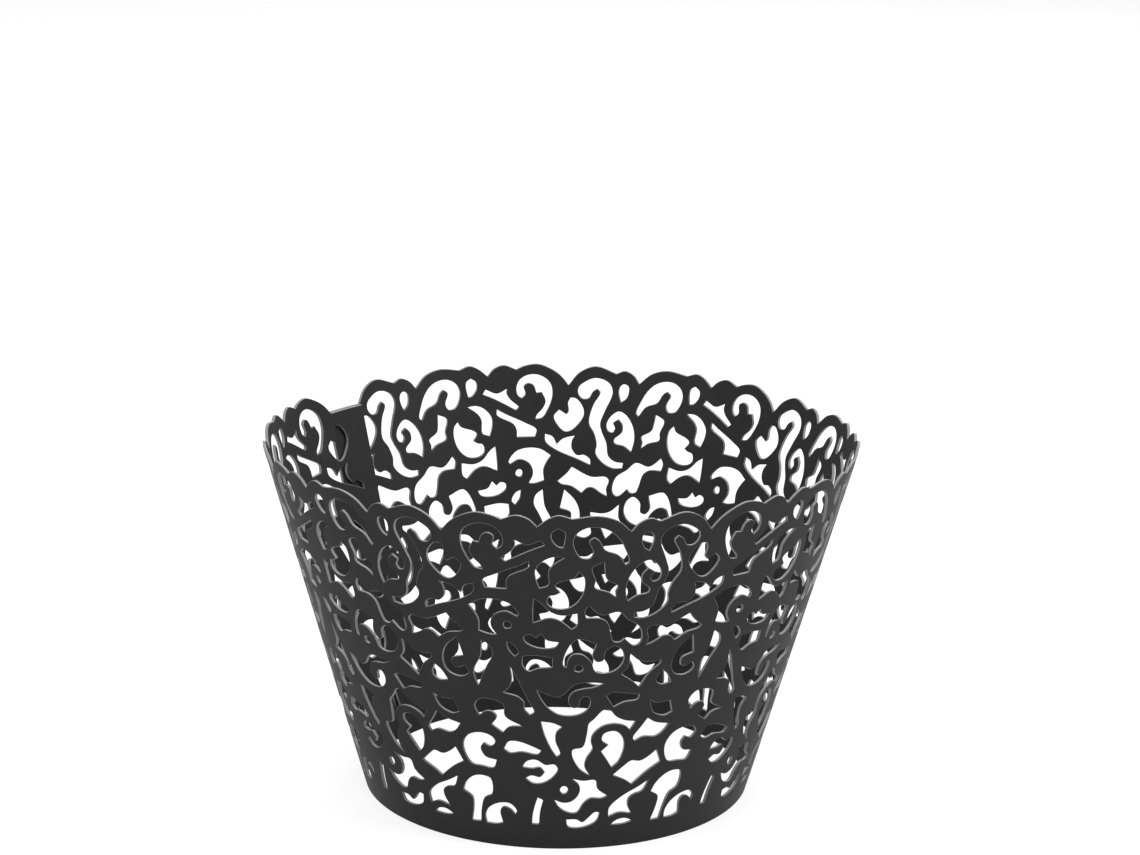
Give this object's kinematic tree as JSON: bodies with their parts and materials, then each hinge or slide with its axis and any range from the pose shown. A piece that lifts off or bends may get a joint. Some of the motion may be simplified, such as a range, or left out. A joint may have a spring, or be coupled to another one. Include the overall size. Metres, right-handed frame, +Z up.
{
  "type": "paper baking cup",
  "caption": "Round tapered baking cup wall of thin black card, open at both ends, with cut-through vine scrollwork, a scalloped top edge and a plain base band.",
  "frame": {"origin": "on the cup's axis, at the plane of its lower edge", "axes": "+Z up along the cup's axis towards the wide scalloped edge, -Y the front as seen in the picture"},
  "size_m": [0.0822, 0.0823, 0.0499],
  "materials": {
    "black_card": "satin"
  },
  "bodies": {
    "root": {"cup_wall": "black_card"}
  },
  "joints": []
}
